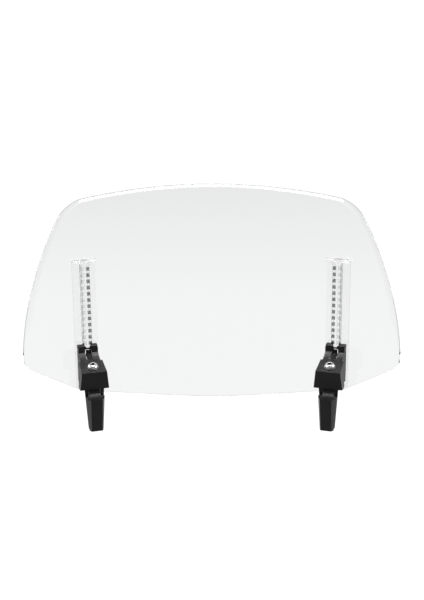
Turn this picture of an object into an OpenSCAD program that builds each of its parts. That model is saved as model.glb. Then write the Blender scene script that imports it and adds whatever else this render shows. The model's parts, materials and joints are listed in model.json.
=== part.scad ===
// Clip-on windshield screen: a clear bowed deflector on two toothed rails,
// held by two ratchet clamps that grip the top edge of a motorcycle windshield.
// X runs across the screen, -Y towards the rider, Z up along the rails.
// Inside a clamp, v is the distance from the screen towards the rider.

/* [Screen sheet] */
// Bend radius of the concave face
sheet_r = 440; // [400:5:520]
// Thickness of the sheet
sheet_t = 3; // [2:0.5:4]
// Height of the top edge above the jaw tips
sheet_top = 251.8; // [245:0.2:260]
// Height of the bottom edge above the jaw tips
sheet_bottom = 14.8; // [10:0.2:20]
// How far the flared lip leans away from the rider
lip_depth = 3; // [1:0.5:5]
// Width of the lip along the top edge
lip_top_w = 2.5; // [1:0.5:4]
// Extra width of the lip along the sides
lip_side_w = 2.5; // [1:0.5:4]

/* [Rails] */
// Angle of each rail round the bend, from the middle
rail_angle = 17.8; // [16:0.1:20]
// Width of the pad bonded to the sheet
pad_w = 25; // [24:0.5:28]
// Thickness of the pad
pad_t = 1.2; // [1:0.1:1.5]
// Lower end of the rail
rail_low = 35.5; // [34:0.5:36]
// Upper end of the rail
rail_high = 176.5; // [174:0.5:180]
// Distance from tooth to tooth
tooth_pitch = 6.8; // [6:0.1:7.5]
// Number of tooth gaps along the rail
tooth_count = 19; // [15:1:19]
// Width across the toothed head
head_w = 10.4; // [9:0.2:10.4]

/* [Clamp] */
// Width of the ears and of the slider
ear_w = 21; // [20:0.5:22]
// Height of the ear tips
ear_top = 84.1; // [82:0.1:85]
// Height of the crease where the neck starts to flare
crease_z = 76.4; // [76:0.1:77]
// Underside of the slider
slider_low = 42.3; // [42:0.1:43]
// Width of the hood along its upper front edge
hood_top_w = 26.6; // [25:0.2:28]
// Width of the hood along its lower edge
hood_low_w = 30.8; // [29:0.2:32]
// Underside of the hood
hood_low = 45.1; // [44.5:0.1:45.5]
// Wall thickness of the housing
wall = 2.4; // [2:0.1:2.5]
// Running clearance between sliding faces
gap = 0.3; // [0.2:0.05:0.3]

/* [Jaws] */
// Width of the finger's back at its upper end
finger_top_w = 19.8; // [18:0.2:20]
// Width of the finger's back at its tip
finger_low_w = 15; // [14:0.2:16]
// Width of the finger's front face at its upper end
face_top_w = 12.6; // [12:0.2:14]
// Width of the finger's front face at its tip
face_low_w = 11.6; // [10:0.2:12]
// Height of the front face below the scoop
scoop_z = 35.4; // [34:0.2:36]
// Radius of the scoop
scoop_r = 11.9; // [11:0.1:12]
// Thickness of each rubber pad
rubber_t = 1.5; // [1.2:0.1:1.5]
// Spacing of the grooves in the rubber pads
groove_pitch = 4; // [3:0.5:5]

/* [Hardware] */
// Radius of the clamp screw's shank
screw_r = 3; // [2.5:0.1:3]
// Length of the clamp screw below its head
screw_len = 25; // [22:1:26]
// Radius of the button head
head_r = 5.25; // [5:0.05:5.5]
// Height of the button head
head_h = 3.3; // [3:0.1:3.5]
// Radius of the pivot pin
pin_r = 1.5; // [1.3:0.1:1.5]
// Radius of the barrel nut
nut_r = 4; // [3.8:0.1:4]
// Radius of the barrel nut's two trunnions
nut_end_r = 2.2; // [2:0.1:2.2]
// Wire radius of the opening spring
wire_r = 0.5; // [0.4:0.05:0.6]

/* [Hidden] */
$fn = 64;

// Depths (v) inside the clamp, from the screen towards the rider
head_back = 4.4;      // back of the toothed head
head_front = 7.6;     // crests of the teeth
rib_front = 8.2;      // front of the centre rib
ear_back = 7.9;       // back of the ear plate
ear_front = 10.5;     // front of the ears
neck_v = 21.7;        // where the hood starts
hood_front = 42;      // upper front edge of the hood
hood_chin = 39.9;     // lower front edge of the hood
jaw_back = 41;        // back of the finger
jaw_front = 49.7;     // front of the finger below the scoop
tip_front = 45.6;     // front of the finger at its tip
scoop_v = 47.2;       // axis of the scoop

neck_z = 70.8;        // height of the hood's rear edge
brow_z = 64.5;        // height of the hood's front edge
tilt = atan((neck_z - brow_z) / (hood_front - neck_v));
screw_v = 33;         // where the screw meets the hood's top
screw_z = neck_z - (screw_v - neck_v) * tan(tilt);
pin_v = 35;           // the jaw's pivot
pin_z = 52;
pin_t = (pin_v - screw_v) * -sin(tilt) - (pin_z - screw_z) * cos(tilt);
arm_h = 7;            // thickness of the jaw's arm
nut_lift = 0.65;      // the nut sits this far above the arm's middle, half its travel
washer_t = 1.6;
seat_d = 0.6;         // depth of the washer's seat
cheek_in = 6.4;       // inner face of the slider's cheeks
cheek_out = 8.1;
arm_w = 2 * (cheek_in - gap);
leaf_v = 35.6;        // back of the rear jaw's leaf
leaf_t = 2;
leaf_top = 50;
jaw_neck_z = 30.6;
catch_z = 74.6;       // upper face of the catch tooth
catch_v = 7.85;       // its tip, drawn lifted clear of the rail's teeth
tongue_v = 18.1;      // lower end of the release tongue
trunnion_v = 17.4;    // the tongue's pivot
trunnion_z = 64;
trunnion_r = 1;
tongue_w = 5.2;
window_w = 7;
ear_screw_u = 8;
ear_screw_z = 78;

// The model's y = 0 is midway between the lip and the finger's front corner
y_front = sheet_r + sheet_t + lip_depth;
y_rear = (sheet_r - jaw_front) * cos(rail_angle) - face_top_w / 2 * sin(rail_angle);
axis_y = -(y_front + y_rear) / 2;

// ---------- sheet outline, right half, as x and z ----------
function bez(p, t) = pow(1 - t, 3) * p[0] + 3 * pow(1 - t, 2) * t * p[1]
    + 3 * (1 - t) * t * t * p[2] + pow(t, 3) * p[3];
function curve(p, n, from = 0, to = 1) = [for (i = [0:n]) bez(p, from + (to - from) * i / n)];

side_curve = [[198.2, 76], [194.7, 126], [178.1, 183.5], [156.5, 223]];
corner_curve = [[156.5, 223], [151.5, 231.7], [141, 239], [133, 240.4]];
top_curve = [[133, 240.4], [89, 248], [44, sheet_top], [0, sheet_top]];
low_corner = [[198.4, 74], [198.4, 67], [193, 61.5], [186, 57]];
low_side = [[186, 57], [172.7, 48.9], [159.3, 40.8], [146, 32.7]];
low_bend = [[146, 32.7], [142, 30.2], [138, 29.2], [132, 28.6]];
low_edge = [[132, 28.6], [92, 22.5], [50, sheet_bottom], [0, sheet_bottom]];

outer_half = concat(curve(side_curve, 26, 0.02, 1), [for (i = [1:8]) bez(corner_curve, i / 8)],
    [for (i = [1:14]) bez(top_curve, i / 14)]);
lower_half = concat(curve(low_corner, 8), [for (i = [1:6]) bez(low_side, i / 6)],
    [for (i = [1:4]) bez(low_bend, i / 4)], [for (i = [1:12]) bez(low_edge, i / 12)]);
lower_table = [for (i = [len(lower_half) - 1:-1:0]) lower_half[i]];

half_n = len(outer_half);
function outward(k) = let (a = outer_half[max(k - 1, 0)], b = outer_half[min(k + 1, half_n - 1)],
    d = (b - a) / norm(b - a)) k == half_n - 1 ? [0, 1] : [d[1], -d[0]];
function fade(k) = min(1, 0.15 + k / 7);
function lip_w(k) = fade(k) * (lip_top_w + lip_side_w * abs(outward(k)[0]));
inner_half = [for (k = [0:half_n - 1]) outer_half[k] - lip_w(k) * outward(k)];

// Every ring of the sheet runs from the right end over the top to the left end
cols = 2 * half_n - 1;
function half_i(k) = k < half_n ? k : cols - 1 - k;
function sgn(k) = k < half_n ? 1 : -1;
function on_bend(x, z, r) = let (a = asin(x / sheet_r)) [r * sin(a), axis_y + r * cos(a), z];
function low_z(x) = lookup(abs(x), lower_table);
function ring(r, lift, kind) = [for (k = [0:cols - 1])
    let (i = half_i(k), s = sgn(k), p = inner_half[i], q = outer_half[i])
    kind == 0 ? on_bend(s * p[0], low_z(p[0]), r)
    : kind == 1 ? on_bend(s * p[0], p[1], r)
    : on_bend(s * q[0], q[1], r + lift * fade(i))];
function quads(a, b) = [for (k = [0:cols - 2]) each [
    [a * cols + k, a * cols + k + 1, b * cols + k + 1],
    [a * cols + k, b * cols + k + 1, b * cols + k]]];
function end_cap(k, turn) = let (f = [for (r = [0:5]) r * cols + k])
    [for (i = [1:4]) turn ? [f[0], f[i + 1], f[i]] : [f[0], f[i], f[i + 1]]];

module sheet_solid() {
    points = concat(
        ring(sheet_r, 0, 0), ring(sheet_r, 0, 1), ring(sheet_r, lip_depth, 2),
        ring(sheet_r + sheet_t, lip_depth, 2), ring(sheet_r + sheet_t, 0, 1),
        ring(sheet_r + sheet_t, 0, 0));
    faces = concat(quads(0, 1), quads(1, 2), quads(2, 3), quads(3, 4), quads(4, 5),
        quads(5, 0), end_cap(0, false), end_cap(cols - 1, true));
    polyhedron(points, faces);
}

// ---------- helpers in the clamp's own frame ----------
// x across the clamp, y = -v, z up; the right clamp's x points outwards
module right() translate([0, axis_y, 0]) rotate(-rail_angle) translate([0, sheet_r, 0]) children();
module left() mirror([1, 0, 0]) right() children();

// A side view (v, z) made w wide, centred
module slab(points, w, shift = 0)
    translate([shift - w / 2, 0, 0]) rotate([90, 0, 90]) linear_extrude(w)
        polygon([for (p = points) [-p[0], p[1]]]);

// A front view (u, z) made deep from v = from to v = to
module front_slab(points, from, to)
    translate([0, -from, 0]) rotate([90, 0, 0]) linear_extrude(to - from) polygon(points);

// A box given by its u, v and z ranges
module block(u, v, z) translate([u[0], -v[1], z[0]]) cube([u[1] - u[0], v[1] - v[0], z[1] - z[0]]);
module pair() { children(); mirror([1, 0, 0]) children(); }

// Along the clamp screw: z = 0 on the hood's top, z up out of the head
module at_screw() translate([0, -screw_v, screw_z]) rotate([tilt, 0, 0]) children();
module cross_pin(v, z, r, w) translate([0, -v, z]) rotate([0, 90, 0]) cylinder(r = r, h = w, center = true);
function trapezoid(w1, z1, w2, z2) = [[-w1 / 2, z1], [w1 / 2, z1], [w2 / 2, z2], [-w2 / 2, z2]];
function finger_w(z) = finger_low_w + (finger_top_w - finger_low_w) * z / (scoop_z + 2);

// ---------- rail ----------
notch_top = catch_z - 0.1;
first_notch = notch_top - 4 * tooth_pitch;
module rail() intersection() {
    translate([0, -sheet_r, 0]) cylinder(r = sheet_r - 0.02, h = rail_high + 10, $fn = 256);
    difference() {
        union() {
            block([-pad_w / 2, pad_w / 2], [-1, pad_t], [rail_low, rail_high]);
            block([-3, 3], [pad_t - 0.5, head_back + 0.5], [rail_low, rail_high]);
            block([-head_w / 2, head_w / 2], [head_back, head_front], [rail_low, rail_high]);
            block([-1.2, 1.2], [head_front - 1, rib_front], [rail_low, rail_high]);
            block([-pad_w / 2, pad_w / 2], [pad_t - 0.5, rib_front], [rail_high - 2.5, rail_high]);
        }
        for (i = [0:tooth_count - 1]) pair() translate([0, 0, first_notch + i * tooth_pitch])
            slab([[head_front + 1, 0], [6.2, 0], [6.2, -1.4], [head_front, -3.9], [head_front + 1, -3.9]],
                head_w / 2, 1.2 + head_w / 4);
    }
}

// Clips round the rail's lower end so that the slider can't run off
module rail_stop() difference() {
    block([-8, 8], [pad_t + 0.1, 9.6], [rail_low - 1.6, slider_low - 1.2 * gap]);
    block([-3, 3], [0, head_back + 0.1], [rail_low, slider_low]);
    block([-head_w / 2, head_w / 2], [head_back, head_front], [rail_low, slider_low]);
    block([-1.2, 1.2], [head_front - 1, rib_front], [rail_low, slider_low]);
}

// ---------- slider with the rear jaw ----------
module slider() {
    difference() {
        union() {
            block([-ear_w / 2, ear_w / 2], [pad_t + gap, ear_back], [slider_low, ear_top - 0.6]);
            block([-ear_w / 2, ear_w / 2], [ear_back - 0.5, ear_front], [slider_low, 67.8]);
            pair() slab([[ear_front - 1, 44], [ear_front - 1, 60], [30, 60], [36, 58], [37.2, 55],
                [37.2, 34.5], [leaf_v, 34], [32, 40]],
                cheek_out - cheek_in, (cheek_out + cheek_in) / 2);
            front_slab(trapezoid(finger_low_w, 0.6, finger_w(leaf_top), leaf_top), leaf_v, leaf_v + leaf_t);
        }
        block([-3 - gap, 3 + gap], [0, ear_back], [0, ear_top + 1]);
        block([-head_w / 2 - gap, head_w / 2 + gap], [head_back - gap, ear_back], [0, ear_top + 1]);
        block([-1.2 - gap, 1.2 + gap], [0, rib_front + gap], [0, ear_top + 1]);
        // room for the jaw's neck
        block([-cheek_in, cheek_in], [leaf_v - 1, 50], [jaw_neck_z, 56]);
        cross_pin(pin_v, pin_z, pin_r + 0.02, 2 * cheek_out + 2);
        pair() translate([ear_screw_u, 0, ear_screw_z]) rotate([90, 0, 0]) {
            cylinder(r = 1.6, h = ear_front);
            cylinder(r = 2.85, h = pad_t + gap + 1.7);
        }
    }
}

// ---------- housing ----------
function top_face(v) = neck_z - (v - neck_v) * tan(tilt);
ear_outline = [[-ear_w / 2, 40], [ear_w / 2, 40], [ear_w / 2, ear_top - 2.4], [ear_w / 2 - 2, ear_top],
    [3.2, ear_top], [1.6, ear_top - 2.6], [-1.6, ear_top - 2.6], [-3.2, ear_top],
    [-ear_w / 2 + 2, ear_top], [-ear_w / 2, ear_top - 2.4]];

module hood_solid(inset, low) intersection() {
    slab([[neck_v + inset, top_face(neck_v + inset) - 1.05 * inset],
        [hood_front - inset, top_face(hood_front - inset) - 1.05 * inset], [hood_chin - inset, low],
        [30.2 + inset, low], [neck_v + inset, neck_z - 2.2 - 1.4 * inset]], 40);
    front_slab([[-hood_low_w / 2 + inset, low], [hood_low_w / 2 - inset, low],
        [hood_top_w / 2 - inset, brow_z], [hood_top_w / 2 - 0.8 - inset, neck_z + 1],
        [-hood_top_w / 2 + 0.8 + inset, neck_z + 1], [-hood_top_w / 2 + inset, brow_z]], 10, 50);
}

module housing() difference() {
    union() {
        intersection() {
            slab([[ear_back, ear_top - 0.8], [ear_back + 0.8, ear_top], [ear_front - 0.7, ear_top],
                [ear_front, ear_top - 0.7], [ear_front, crease_z], [14, 73.9], [18, 72.1],
                [neck_v, neck_z], [30, top_face(30) - 0.5], [30, 47], [ear_front, 47],
                [ear_front, 68], [ear_back, 68]], ear_w + 2);
            front_slab(ear_outline, 5, 40);
        }
        hood_solid(0, hood_low);
    }
    // hollow neck and hood, open below
    slab([[ear_front - 0.1, 40], [ear_front - 0.1, 68.1], [12.8, 72], [18, 69.3], [neck_v, 68.2],
        [33, 64.4], [33, 40]], ear_w - 2 * wall);
    hood_solid(wall, 40);
    // groove for the rail's rib
    block([-1.5, 1.5], [0, rib_front + gap], [60, ear_top + 1]);
    // window and the room for the release tongue
    slab([[0, 75], [0, 80.2], [11, 80.2], [13, 76], [tongue_v + 1, 72.6], [tongue_v + 1, 66],
        [ear_back - 1, 66]], window_w);
    cross_pin(trunnion_v, trunnion_z, trunnion_r + 0.05, ear_w - 1.4);
    // screw hole with the washer's seat
    at_screw() translate([0, 0, -8]) cylinder(r = screw_r + 0.3, h = 12);
    at_screw() translate([0, 0, -seat_d]) cylinder(r = 6.4, h = 5);
    pair() translate([ear_screw_u, 0, ear_screw_z]) rotate([90, 0, 0]) cylinder(r = 1.5, h = ear_front - 0.5);
}

// Tongue with two catch teeth, one on each side of the rib, on its own trunnions
module tongue() union() {
    difference() {
        slab([[14, 73.9], [17.8, 72.2], [tongue_v, 71.9], [tongue_v, trunnion_z],
            [trunnion_v - 0.9, trunnion_z], [trunnion_v - 0.9, 69.9], [13.5, 71.9], [9.6, 72.6],
            [catch_v, 73.9], [catch_v, catch_z], [9.1, catch_z], [9.4, 79.3], [10.3, 79.3],
            [10.4, 75.2], [12.2, catch_z + 0.2]], tongue_w);
        block([-1.5, 1.5], [0, rib_front + 3 * gap], [60, 90]);
    }
    cross_pin(trunnion_v, trunnion_z, trunnion_r, ear_w - 2);
}

// Two self-tapping screws from behind
module housing_screws() pair() translate([ear_screw_u, 0, ear_screw_z]) rotate([90, 0, 0])
    difference() {
        union() {
            translate([0, 0, pad_t + gap + 0.1]) cylinder(r = 2.7, h = 1.6);
            translate([0, 0, pad_t + gap + 1.7]) cylinder(r = 1.5, h = 6);
        }
        translate([0, 0, 2]) cylinder(r = 1.1, h = 1.5, $fn = 6);
    }

// ---------- front jaw ----------
function finger_ring(z, back_w, face_w, front) = [
    [-back_w / 2, -jaw_back, z], [back_w / 2, -jaw_back, z], [back_w / 2, -jaw_back - 0.8, z],
    [face_w / 2, -front, z], [-face_w / 2, -front, z], [-back_w / 2, -jaw_back - 0.8, z]];
module finger_body() polyhedron(
    concat(finger_ring(0, finger_low_w, face_low_w, tip_front),
        finger_ring(scoop_z + 4, finger_w(scoop_z + 4), face_top_w, jaw_front + 0.4)),
    [[5, 4, 3, 2, 1, 0], [6, 7, 8, 9, 10, 11], [0, 1, 7, 6], [1, 2, 8, 7], [2, 9, 8], [2, 3, 9],
        [3, 4, 10, 9], [4, 11, 10], [4, 5, 11], [5, 0, 6, 11]]);

module front_jaw() difference() {
    union() {
        difference() {
            union() {
                finger_body();
                // neck that runs back under the hood's chin
                slab([[42.3, 31], [42.3, 41], [38, 50], [pin_v, 54], [31.6, 51.5], [32, 44],
                    [33.2, 39], [36.5, 34], [39.5, 31]], arm_w - 0.4);
            }
            // scoop across the top of the finger
            cross_pin(scoop_v, scoop_z + 12.6, scoop_r, 30);
        }
        cross_pin(pin_v, pin_z, 2.8, arm_w);
        at_screw() block([-arm_w / 2, arm_w / 2], [-6.4, 6.4], [-pin_t - arm_h / 2, -pin_t + arm_h / 2]);
    }
    cross_pin(pin_v, pin_z, pin_r + 0.05, 30);
    at_screw() {
        // slot and cross hole for the barrel nut
        block([-3.5, 3.5], [-4.26, 4.22], [-pin_t - 6, -pin_t + 6]);
        translate([0, 0, nut_lift - pin_t]) rotate([0, 90, 0])
            cylinder(r = nut_end_r + 0.05, h = 30, center = true);
    }
}

module grooved_pad(from, to, low, high, face) difference() {
    front_slab(trapezoid(finger_w(low), low, finger_w(high), high), from, to);
    block([-arm_w / 2 - 0.4, arm_w / 2 + 0.4], [30, 50], [jaw_neck_z, 60]);
    for (z = [low + groove_pitch:groove_pitch:high - 2])
        block([-20, 20], [face - 0.45, face + 0.45], [z - 0.6, z + 0.6]);
}
module front_pad() grooved_pad(jaw_back - rubber_t, jaw_back, 1, 36, jaw_back - rubber_t);
module rear_pad() grooved_pad(leaf_v + leaf_t, leaf_v + leaf_t + rubber_t, 1, 36.5,
    leaf_v + leaf_t + rubber_t);

// ---------- hardware ----------
module pivot_pin() cross_pin(pin_v, pin_z, pin_r, 2 * cheek_out);

module barrel_nut() at_screw() translate([0, 0, nut_lift - pin_t]) difference() {
    rotate([0, 90, 0]) {
        cylinder(r = nut_r, h = 6.6, center = true);
        cylinder(r = nut_end_r, h = arm_w, center = true);
    }
    cylinder(r = screw_r + 0.08, h = 20, center = true);
}

// Button-head screw with a hexagon socket
under_head = washer_t - seat_d + 0.05;
screw_end = under_head - screw_len;
head_dome = [for (a = [10:10:60])
    [head_r - 4 * (1 - cos(a)), under_head + 0.6 + (head_h - 0.6) * sin(a) / sin(60)]];
module clamp_screw() at_screw() difference() {
    rotate_extrude() polygon(concat([[0, screw_end], [screw_r - 0.5, screw_end],
        [screw_r, screw_end + 0.5], [screw_r, under_head], [head_r, under_head],
        [head_r, under_head + 0.6]], head_dome, [[0, under_head + head_h]]));
    translate([0, 0, under_head + head_h - 2]) cylinder(r = 2.31, h = 3, $fn = 6);
}

module washer() at_screw() translate([0, 0, -seat_d]) difference() {
    cylinder(r = 6.2, h = washer_t);
    translate([0, 0, -1]) cylinder(r = screw_r + 0.25, h = 5);
}

// Opening spring round the screw, between the hood and the jaw's arm
spring_r = 4.3;
spring_turns = 3;
spring_from = -pin_t + arm_h / 2 + wire_r + 0.05;
spring_to = -wall - 0.75 - wire_r;
spring_steps = 14;
function spring_point(i, a) = let (n = spring_turns * spring_steps, b = 360 * i / spring_steps,
    r = spring_r + wire_r * cos(a), z = spring_from + (spring_to - spring_from) * i / n + wire_r * sin(a))
    [r * cos(b), r * sin(b), z];
module spring() at_screw() {
    n = spring_turns * spring_steps;
    sides = 6;
    points = [for (i = [0:n]) for (j = [0:sides - 1]) spring_point(i, 360 * j / sides)];
    faces = concat([[for (j = [0:sides - 1]) j]], [[for (j = [0:sides - 1]) n * sides + sides - 1 - j]],
        [for (i = [0:n - 1]) for (j = [0:sides - 1]) let (k = (j + 1) % sides)
            [i * sides + j, (i + 1) * sides + j, (i + 1) * sides + k, i * sides + k]]);
    polyhedron(points, faces);
}

// ---------- named sub-parts ----------
module screen_sheet() color([0.9, 0.93, 0.94, 0.4]) sheet_solid();
module clear_tone() color([0.88, 0.92, 0.93, 0.6]) children();
module moulded_tone() color([0.13, 0.13, 0.14]) children();
module rubber_tone() color([0.06, 0.06, 0.06]) children();
module steel_tone() color([0.75, 0.76, 0.78]) children();

module left_rail() clear_tone() left() rail();
module left_rail_stop() clear_tone() left() rail_stop();
module left_housing() moulded_tone() left() housing();
module left_slider() moulded_tone() left() slider();
module left_housing_screws() steel_tone() left() housing_screws();
module left_tongue() moulded_tone() left() tongue();
module left_front_jaw() moulded_tone() left() front_jaw();
module left_front_pad() rubber_tone() left() front_pad();
module left_rear_pad() rubber_tone() left() rear_pad();
module left_pivot_pin() steel_tone() left() pivot_pin();
module left_barrel_nut() steel_tone() left() barrel_nut();
module left_clamp_screw() steel_tone() left() clamp_screw();
module left_washer() rubber_tone() left() washer();
module left_spring() steel_tone() left() spring();

module right_rail() clear_tone() right() rail();
module right_rail_stop() clear_tone() right() rail_stop();
module right_housing() moulded_tone() right() housing();
module right_slider() moulded_tone() right() slider();
module right_housing_screws() steel_tone() right() housing_screws();
module right_tongue() moulded_tone() right() tongue();
module right_front_jaw() moulded_tone() right() front_jaw();
module right_front_pad() rubber_tone() right() front_pad();
module right_rear_pad() rubber_tone() right() rear_pad();
module right_pivot_pin() steel_tone() right() pivot_pin();
module right_barrel_nut() steel_tone() right() barrel_nut();
module right_clamp_screw() steel_tone() right() clamp_screw();
module right_washer() rubber_tone() right() washer();
module right_spring() steel_tone() right() spring();

screen_sheet();
left_rail();
left_rail_stop();
left_housing();
left_slider();
left_housing_screws();
left_tongue();
left_front_jaw();
left_front_pad();
left_rear_pad();
left_pivot_pin();
left_barrel_nut();
left_clamp_screw();
left_washer();
left_spring();
right_rail();
right_rail_stop();
right_housing();
right_slider();
right_housing_screws();
right_tongue();
right_front_jaw();
right_front_pad();
right_rear_pad();
right_pivot_pin();
right_barrel_nut();
right_clamp_screw();
right_washer();
right_spring();
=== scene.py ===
"""Looks for the clip-on windshield screen: a clear bowed sheet, clear toothed rails, two black clamps."""

import json
import math

import bmesh
import bpy
from mathutils import Matrix, Vector

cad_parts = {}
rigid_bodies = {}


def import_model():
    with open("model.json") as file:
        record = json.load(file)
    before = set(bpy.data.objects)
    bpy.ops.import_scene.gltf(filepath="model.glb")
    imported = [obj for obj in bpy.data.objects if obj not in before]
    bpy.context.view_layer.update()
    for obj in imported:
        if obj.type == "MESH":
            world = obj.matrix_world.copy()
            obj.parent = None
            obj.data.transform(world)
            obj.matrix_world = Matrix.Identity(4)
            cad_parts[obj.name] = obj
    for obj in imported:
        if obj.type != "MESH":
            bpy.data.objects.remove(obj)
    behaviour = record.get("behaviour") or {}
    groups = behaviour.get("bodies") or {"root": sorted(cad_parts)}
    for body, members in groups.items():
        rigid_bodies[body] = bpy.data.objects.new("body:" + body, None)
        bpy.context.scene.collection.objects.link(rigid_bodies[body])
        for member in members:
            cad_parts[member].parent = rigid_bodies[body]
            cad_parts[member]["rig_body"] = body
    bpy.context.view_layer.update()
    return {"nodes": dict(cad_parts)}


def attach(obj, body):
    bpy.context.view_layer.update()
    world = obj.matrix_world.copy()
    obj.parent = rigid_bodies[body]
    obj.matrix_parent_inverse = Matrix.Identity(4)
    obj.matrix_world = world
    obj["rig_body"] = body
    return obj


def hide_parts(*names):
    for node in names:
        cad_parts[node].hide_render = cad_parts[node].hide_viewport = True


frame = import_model()
nodes = frame["nodes"]
scene = bpy.context.scene

# ---------- the part's own measures, in mm ----------
SHEET_R, SHEET_T = 440.0, 3.0
LIP_DEPTH, LIP_TOP, LIP_SIDE = 3.0, 2.5, 2.5
SHEET_TOP, SHEET_LOW = 251.8, 14.8
RAIL_ANGLE = math.radians(17.8)
JAW_FRONT, FACE_TOP_W = 49.7, 12.6
# the sheet's bend axis, which puts y = 0 midway between the lip and the jaw's front corner
AXIS_Y = -((SHEET_R + SHEET_T + LIP_DEPTH) + (SHEET_R - JAW_FRONT) * math.cos(RAIL_ANGLE)
           - FACE_TOP_W / 2 * math.sin(RAIL_ANGLE)) / 2
NECK_V, NECK_Z = 21.7, 70.8
BROW_V, BROW_Z = 42, 64.5
TILT = math.atan((NECK_Z - BROW_Z) / (BROW_V - NECK_V))
SCREW_V = 33.0
SCREW_Z = NECK_Z - (SCREW_V - NECK_V) * math.tan(TILT)


def local(p, side):
    """A point in metres in the row frame to (u, v, z) in mm in a clamp's own frame."""
    x, y = side * p.x * 1000, p.y * 1000 - AXIS_Y
    return (x * math.cos(RAIL_ANGLE) - y * math.sin(RAIL_ANGLE),
            SHEET_R - x * math.sin(RAIL_ANGLE) - y * math.cos(RAIL_ANGLE), p.z * 1000)


# ---------- materials ----------
def grey(v):
    return (v, v, v, 1)


def new_material(name):
    mat = bpy.data.materials.new(name)
    mat.use_nodes = True
    return mat, mat.node_tree.nodes, mat.node_tree.links, mat.node_tree.nodes["Principled BSDF"]


def set_value(mat, socket, value):
    mat.node_tree.nodes["Principled BSDF"].inputs[socket].default_value = value


def noise(n, links, scale, detail=4.0, rough=0.5):
    coords = n.new("ShaderNodeTexCoord")
    tex = n.new("ShaderNodeTexNoise")
    tex.inputs["Scale"].default_value = scale
    tex.inputs["Detail"].default_value = detail
    tex.inputs["Roughness"].default_value = rough
    links.new(coords.outputs["Object"], tex.inputs["Vector"])
    return tex


def ramp(n, links, source, stops):
    r = n.new("ShaderNodeValToRGB")
    r.color_ramp.elements[0].position, r.color_ramp.elements[0].color = stops[0]
    r.color_ramp.elements[1].position, r.color_ramp.elements[1].color = stops[-1]
    for pos, col in stops[1:-1]:
        r.color_ramp.elements.new(pos).color = col
    links.new(source, r.inputs["Fac"])
    return r


def add_bump(n, links, bsdf, source, strength, distance):
    bump = n.new("ShaderNodeBump")
    bump.inputs["Strength"].default_value = strength
    bump.inputs["Distance"].default_value = distance
    links.new(source, bump.inputs["Height"])
    links.new(bump.outputs["Normal"], bsdf.inputs["Normal"])


def moulded(name, base=0.006, rough=0.4, grain=0.06, specular=0.2):
    """Moulded plastic: uneven tone and gloss, with a fine grain."""
    mat, n, links, bsdf = new_material(name)
    fine = noise(n, links, 2600, 3)
    broad = noise(n, links, 55, 4)
    col = ramp(n, links, broad.outputs["Fac"], [(0.3, grey(base * 0.85)), (0.7, grey(base * 1.2))])
    links.new(col.outputs["Color"], bsdf.inputs["Base Color"])
    rr = ramp(n, links, broad.outputs["Fac"], [(0.3, grey(rough - 0.05)), (0.75, grey(rough + 0.06))])
    links.new(rr.outputs["Color"], bsdf.inputs["Roughness"])
    add_bump(n, links, bsdf, fine.outputs["Fac"], grain, 0.0002)
    bsdf.inputs["Specular IOR Level"].default_value = specular
    return mat


def rubber(name):
    mat, n, links, bsdf = new_material(name)
    fine = noise(n, links, 900, 5, 0.65)
    col = ramp(n, links, fine.outputs["Fac"], [(0.3, grey(0.007)), (0.7, grey(0.014))])
    links.new(col.outputs["Color"], bsdf.inputs["Base Color"])
    rr = ramp(n, links, fine.outputs["Fac"], [(0.3, grey(0.72)), (0.7, grey(0.88))])
    links.new(rr.outputs["Color"], bsdf.inputs["Roughness"])
    add_bump(n, links, bsdf, fine.outputs["Fac"], 0.12, 0.0002)
    bsdf.inputs["Specular IOR Level"].default_value = 0.3
    return mat


def metal(name, base, rough, spread=0.1, bump=0.05):
    """Plated steel whose gloss wanders from rough to rough + spread."""
    mat, n, links, bsdf = new_material(name)
    fine = noise(n, links, 700, 5)
    col = ramp(n, links, fine.outputs["Fac"], [(0.3, grey(base * 0.93)), (0.7, grey(base))])
    links.new(col.outputs["Color"], bsdf.inputs["Base Color"])
    rr = ramp(n, links, fine.outputs["Fac"], [(0.3, grey(rough)), (0.75, grey(rough + spread))])
    links.new(rr.outputs["Color"], bsdf.inputs["Roughness"])
    add_bump(n, links, bsdf, fine.outputs["Fac"], bump, 0.0001)
    bsdf.inputs["Metallic"].default_value = 1.0
    return mat


def clear(name, tint, rough=0.0, wave=0.0):
    """Clear plastic; wave is the strength of its slight moulded unevenness."""
    mat, n, links, bsdf = new_material(name)
    broad = noise(n, links, 9, 2)
    lo = tuple(c * 0.997 for c in tint) + (1,)
    col = ramp(n, links, broad.outputs["Fac"], [(0.3, lo), (0.7, tint + (1,))])
    links.new(col.outputs["Color"], bsdf.inputs["Base Color"])
    rr = ramp(n, links, broad.outputs["Fac"], [(0.3, grey(rough)), (0.7, grey(rough + 0.012))])
    links.new(rr.outputs["Color"], bsdf.inputs["Roughness"])
    bsdf.inputs["Transmission Weight"].default_value = 1.0
    bsdf.inputs["IOR"].default_value = 1.49
    if wave:
        fine = noise(n, links, 160, 2)
        add_bump(n, links, bsdf, fine.outputs["Fac"], wave, 0.0003)
    return mat


ACRYLIC = clear("clear_acrylic_sheet", (0.825, 0.828, 0.83))
# painted shade: the lip and the rim are copies of the sheet's acrylic, the lip tinted a little darker and
# the rim much darker
LIP = clear("clear_acrylic_lip_painted_shade", (0.8, 0.803, 0.805))
EDGE = clear("clear_acrylic_edge_painted_shade", (0.38, 0.385, 0.39), rough=0.1)
RAIL = clear("clear_rail_plastic", (0.975, 0.978, 0.978), rough=0.01, wave=0.05)
# painted shade: the notches are tinted dark where clear plastic bends light away, those nearer the
# screen's middle most
INNER_TEETH_SHADE = clear("clear_rail_inner_teeth_painted_shade", (0.07, 0.072, 0.074), rough=0.05, wave=0.05)
OUTER_TEETH_SHADE = clear("clear_rail_outer_teeth_painted_shade", (0.6, 0.605, 0.61), rough=0.08, wave=0.05)
FROSTED = clear("frosted_rail_pad", (0.99, 0.99, 0.99), rough=0.08)
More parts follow.
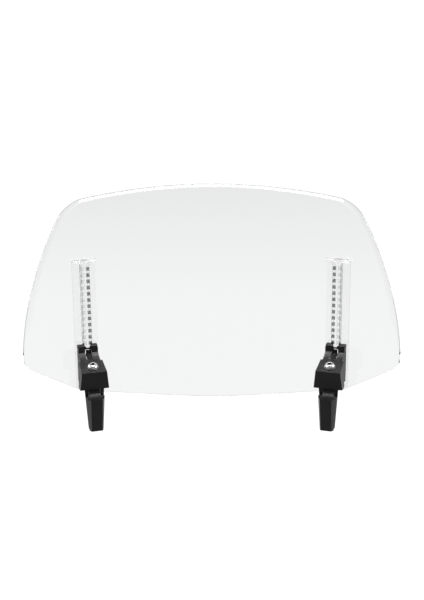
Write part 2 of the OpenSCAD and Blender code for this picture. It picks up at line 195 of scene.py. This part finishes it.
# painted glow: a faint emission on the end bar stands for the light it gathers along the rail
RAIL_END_GLOW = clear("frosted_rail_end_painted_glow", (0.99, 0.99, 0.99), rough=0.45)
set_value(RAIL_END_GLOW, "Emission Color", grey(1))
set_value(RAIL_END_GLOW, "Emission Strength", 0.16)
BLACK = moulded("black_moulded_plastic")
# painted shade: the tongue is a darker black than the housing, so the window in front of it reads as
# shade
TONGUE_SHADE = moulded("matt_black_tongue_painted_shade", 0.004, 0.7, 0.08, 0.15)
RUBBER = rubber("black_jaw_rubber")
CHROME = metal("bright_button_head", 0.62, 0.16, 0.08, 0.03)
STEEL = metal("plated_steel", 0.6, 0.26, 0.12)
# painted shade: the washer is dark steel for the shade under the button head
WASHER_SHADE_STEEL = metal("washer_steel_painted_shade", 0.12, 0.32, 0.12)
# painted shade: the socket is near-black steel for the shade inside it
SOCKET_SHADE = metal("socket_steel_painted_shade", 0.04, 0.35)


# ---------- the clear sheet ----------
# right half of the outline as cubic curves in x and z
SIDE = [(198.2, 76), (194.7, 126), (178.1, 183.5), (156.5, 223)]
CORNER = [(156.5, 223), (151.5, 231.7), (141, 239), (133, 240.4)]
TOP = [(133, 240.4), (89, 248), (44, SHEET_TOP), (0, SHEET_TOP)]
LOW_CORNER = [(198.4, 74), (198.4, 67), (193, 61.5), (186, 57)]
LOW_SIDE = [(186, 57), (172.7, 48.9), (159.3, 40.8), (146, 32.7)]
LOW_BEND = [(146, 32.7), (142, 30.2), (138, 29.2), (132, 28.6)]
LOW_EDGE = [(132, 28.6), (92, 22.5), (50, SHEET_LOW), (0, SHEET_LOW)]

LOW_ROUND = 0.35        # rounding of the bottom edge
RIM_ROUND = 0.8         # rounding of the lip's rim
RIM_BACK, RIM_CUT = 0.12, 0.35
LOW_BAND, LIP_BAND = 1.5, 1.2   # flat bands that keep the big faces' shading true
# the lip's section: share of its width, share of its depth
LIP_SECTION = [(-0.06, 0.0), (0.0, 0.02), (0.12, 0.09), (0.3, 0.28), (0.55, 0.56), (0.8, 0.82)]


def bez(p, t):
    a, b, c, d = (1 - t) ** 3, 3 * (1 - t) ** 2 * t, 3 * (1 - t) * t * t, t ** 3
    return Vector((a * p[0][0] + b * p[1][0] + c * p[2][0] + d * p[3][0],
                   a * p[0][1] + b * p[1][1] + c * p[2][1] + d * p[3][1]))


def low_table():
    pts = []
    for curve, n in ((LOW_CORNER, 24), (LOW_SIDE, 10), (LOW_BEND, 12), (LOW_EDGE, 40)):
        pts += [bez(curve, i / n) for i in range(n + 1)]
    return sorted(((p.x, p.y) for p in pts), key=lambda q: q[0])


LOW = low_table()


def low_z(x):
    """Height of the bottom edge at x."""
    x = abs(x)
    for (x0, z0), (x1, z1) in zip(LOW, LOW[1:]):
        if x <= x1:
            return z0 + (z1 - z0) * (x - x0) / max(x1 - x0, 1e-9)
    return LOW[-1][1]


def on_bend(x, z, r):
    a = math.asin(max(-1, min(1, x / SHEET_R)))
    return Vector((r * math.sin(a), AXIS_Y + r * math.cos(a), z)) / 1000


def sheet_ring(p, out, fade):
    """Section through the sheet at outline point p, as (x, z, depth from the concave face).

    It runs up the concave face from the bottom edge, round the lip and down the convex face."""
    width = fade * (LIP_TOP + LIP_SIDE * abs(out.x))
    lift = LIP_DEPTH * fade
    inner = p - out * width
    zl = low_z(inner.x)
    band = inner - out * LIP_BAND
    rim = inner + out * (width - 0.5)
    near = p - out * RIM_BACK
    lip = []
    for share, height in LIP_SECTION:
        q = inner + out * width * share
        lip.append((q.x, q.y, lift * height))
    ring = [(inner.x, zl, LOW_ROUND), (inner.x, zl + LOW_ROUND, 0.0),
            (inner.x, zl + LOW_BAND, 0.0), (band.x, band.y, 0.0)]
    ring += lip
    ring += [(rim.x, rim.y, lift * 0.96), (near.x, near.y, lift + RIM_CUT),
             (p.x, p.y, lift + RIM_ROUND), (p.x, p.y, lift + SHEET_T - RIM_ROUND),
             (near.x, near.y, lift + SHEET_T - RIM_CUT), (rim.x, rim.y, lift * 0.98 + SHEET_T)]
    ring += [(x, z, SHEET_T + h) for x, z, h in reversed(lip)]
    ring += [(band.x, band.y, SHEET_T), (inner.x, zl + LOW_BAND, SHEET_T),
             (inner.x, zl + LOW_ROUND, SHEET_T), (inner.x, zl, SHEET_T - LOW_ROUND)]
    return ring


def build_sheet():
    outer = [bez(SIDE, 0.02 + 0.98 * i / 80) for i in range(81)]
    outer += [bez(CORNER, i / 24) for i in range(1, 25)]
    outer += [bez(TOP, i / 60) for i in range(1, 61)]
    last = len(outer) - 1
    rings, length = [], 0.0
    for k, p in enumerate(outer):
        if k:
            length += (p - outer[k - 1]).length
        d = (outer[min(k + 1, last)] - outer[max(k - 1, 0)]).normalized()
        out = Vector((0, 1)) if k == last else Vector((d.y, -d.x))
        # the lip grows over the first 38 mm of the side
        rings.append(sheet_ring(p, out, min(1, 0.15 + length / 45)))
    bm = bmesh.new()
    grid = [[bm.verts.new(on_bend(x, z, SHEET_R + t)) for x, z, t in ring] for ring in rings]
    grid += [[bm.verts.new(on_bend(-x, z, SHEET_R + t)) for x, z, t in ring]
             for ring in reversed(rings[:-1])]
    m = len(grid[0])
    # faces of the lip and of the rim, which take the darker painted-shade tints
    lip, edge = range(4, m - 5), range(10, m - 11)
    for a, b in zip(grid, grid[1:]):
        for j in range(m):
            k = (j + 1) % m
            bm.faces.new((a[j], b[j], b[k], a[k])).material_index = (j in lip) + (j in edge)
    bm.faces.new(list(reversed(grid[0])))
    bm.faces.new(grid[-1])
    bmesh.ops.recalc_face_normals(bm, faces=bm.faces)
    mesh = bpy.data.meshes.new("clear_sheet")
    bm.to_mesh(mesh)
    bm.free()
    for p in mesh.polygons:
        p.use_smooth = True
    obj = bpy.data.objects.new("clear_sheet", mesh)
    scene.collection.objects.link(obj)
    for mat in (ACRYLIC, LIP, EDGE):
        mesh.materials.append(mat)
    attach(obj, "screen")
    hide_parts("screen_sheet")


# ---------- moulded pieces: the CAD solids with their edges rounded ----------
def dressed(node, material, radius, segments=2, angle=28, extra=(), pick=None):
    """A copy of a CAD node with welded faces, rounded edges and a material of its own.

    pick(u, v, z), in the clamp's own frame, says which faces get one of the extra
    materials: 0 for none, 1 for the first and so on."""
    src = nodes[node]
    mesh = src.data.copy()
    obj = bpy.data.objects.new(node + "_piece", mesh)
    scene.collection.objects.link(obj)
    bm = bmesh.new()
    bm.from_mesh(mesh)
    bmesh.ops.remove_doubles(bm, verts=bm.verts, dist=2e-6)
    bmesh.ops.dissolve_limit(bm, angle_limit=math.radians(0.6), verts=bm.verts, edges=bm.edges)
    bm.to_mesh(mesh)
    bm.free()
    mesh.materials.clear()
    mesh.materials.append(material)
    side = -1 if node.startswith("left") else 1
    for p in mesh.polygons:
        p.use_smooth = True
        if pick:
            p.material_index = pick(*local(src.matrix_world @ p.center, side))
    for mat in extra:
        mesh.materials.append(mat)
    if radius:
        bev = obj.modifiers.new("round", "BEVEL")
        bev.width = radius / 1000
        bev.segments = segments
        bev.limit_method = "ANGLE"
        bev.angle_limit = math.radians(angle)
        bev.harden_normals = True
        bev.miter_outer = "MITER_ARC"
        bev.use_clamp_overlap = True
    wn = obj.modifiers.new("normals", "WEIGHTED_NORMAL")
    wn.keep_sharp = True
    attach(obj, src["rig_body"])
    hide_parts(node)


def rail_faces(u, v, z):
    """1 and 2: the notches nearer to and further from the screen's middle, in painted shade; 3: pad; 4:
    end bar, with painted glow.
    """
    if z > 173.8:
        return 4
    if v < 1.3:
        return 3
    if 6.1 < v < 7.58 and abs(u) > 1.25:
        return 1 if u < 0 else 2
    return 0


def socket_faces(u, v, z):
    """1: inside the hexagon socket, below the rim of the button head, where the shade is painted."""
    dv, dz = v - SCREW_V, z - SCREW_Z
    along = dz * math.cos(TILT) + dv * math.sin(TILT)
    off = dv * math.cos(TILT) - dz * math.sin(TILT)
    return int(2 < along < 4.3 and math.hypot(u, off) < 2.25)


build_sheet()
for s in ("left", "right"):
    dressed(f"{s}_rail", RAIL, 0.22,
            extra=(INNER_TEETH_SHADE, OUTER_TEETH_SHADE, FROSTED, RAIL_END_GLOW), pick=rail_faces)
    dressed(f"{s}_rail_stop", RAIL, 0.3)
    dressed(f"{s}_housing", BLACK, 0.5, 3)
    dressed(f"{s}_slider", BLACK, 0.3)
    dressed(f"{s}_tongue", TONGUE_SHADE, 0.2)
    dressed(f"{s}_front_jaw", BLACK, 0.6, 3)
    dressed(f"{s}_front_pad", RUBBER, 0.2)
    dressed(f"{s}_rear_pad", RUBBER, 0.2)
    dressed(f"{s}_clamp_screw", CHROME, 0.12, angle=40,
            extra=(SOCKET_SHADE,), pick=socket_faces)
    dressed(f"{s}_washer", WASHER_SHADE_STEEL, 0.12, angle=40)
    dressed(f"{s}_pivot_pin", STEEL, 0.2, angle=40)
    dressed(f"{s}_barrel_nut", STEEL, 0.2, angle=40)
    dressed(f"{s}_housing_screws", STEEL, 0.1, angle=40)
    dressed(f"{s}_spring", STEEL, 0)


# ---------- floor, light, camera ----------
def fade_along_y(n, links, coords, low, high, stops):
    """Brightness that changes along y only, between y = low and y = high."""
    tc = n.new("ShaderNodeTexCoord")
    sep = n.new("ShaderNodeSeparateXYZ")
    links.new(tc.outputs[coords], sep.inputs["Vector"])
    span = n.new("ShaderNodeMapRange")
    span.inputs["From Min"].default_value = low
    span.inputs["From Max"].default_value = high
    links.new(sep.outputs["Y"], span.inputs["Value"])
    return ramp(n, links, span.outputs["Result"], stops).outputs["Color"]


def stage_floor(half=200.0, z=-0.25):
    """A lit table, evenly bright behind the object and dimmer on the rider's side."""
    mesh = bpy.data.meshes.new("floor")
    mesh.from_pydata([(-half, -half, z), (half, -half, z), (half, half, z), (-half, half, z)],
                     [], [(0, 1, 2, 3)])
    obj = bpy.data.objects.new("floor", mesh)
    scene.collection.objects.link(obj)
    mat, n, links, bsdf = new_material("pale_floor")
    glow = fade_along_y(n, links, "Object", -1.0, 4.0,
                        [(0.1, grey(0.4)), (0.21, grey(1.0)), (0.45, grey(1.0)),
                         (0.72, grey(0.9)), (1.0, grey(0.9))])
    links.new(glow, bsdf.inputs["Emission Color"])
    bsdf.inputs["Emission Strength"].default_value = 1.13
    bsdf.inputs["Base Color"].default_value = grey(0.01)
    bsdf.inputs["Roughness"].default_value = 1.0
    bsdf.inputs["Specular IOR Level"].default_value = 0.0
    mesh.materials.append(mat)


def studio_world():
    world = bpy.data.worlds.new("studio")
    scene.world = world
    world.use_nodes = True
    n, links = world.node_tree.nodes, world.node_tree.links
    glow = fade_along_y(n, links, "Generated", -1.0, 1.0, [(0.05, grey(0.3)), (0.5, grey(1.0))])
    links.new(glow, n["Background"].inputs["Color"])
    n["Background"].inputs["Strength"].default_value = 1.0


def area(name, loc, target, size, energy):
    light = bpy.data.lights.new(name, "AREA")
    light.energy = energy
    light.size = size
    obj = bpy.data.objects.new(name, light)
    obj.location = loc
    obj.rotation_euler = (Vector(target) - Vector(loc)).to_track_quat("-Z", "Y").to_euler()
    scene.collection.objects.link(obj)


stage_floor()
studio_world()
area("side_left", (-1.5, -0.1, 0.6), (0, 0, 0.1), 0.9, 24)
area("side_right", (1.5, -0.1, 0.6), (0, 0, 0.1), 0.9, 24)
area("overhead", (0, -0.06, 1.1), (0, -0.03, 0.08), 0.6, 19)

# degrees, and metres from the target
ELEV, AZ, ROLL, DIST = 16.0, 1.0, -0.43, 1.210
TARGET = Vector((0.00108, 0.00143, 0.1344))
cam_data = bpy.data.cameras.new("camera")
cam_data.sensor_width = 36
cam_data.lens = 69
cam_data.clip_end = 100
cam = bpy.data.objects.new("camera", cam_data)
e, a = math.radians(ELEV), math.radians(AZ)
eye = TARGET + DIST * Vector((math.sin(a) * math.cos(e), -math.cos(a) * math.cos(e), math.sin(e)))
look = (TARGET - eye).to_track_quat("-Z", "Y").to_matrix().to_4x4()
cam.matrix_world = Matrix.Translation(eye) @ look @ Matrix.Rotation(math.radians(ROLL), 4, "Z")
scene.collection.objects.link(cam)
scene.camera = cam
scene.view_settings.view_transform = "Standard"
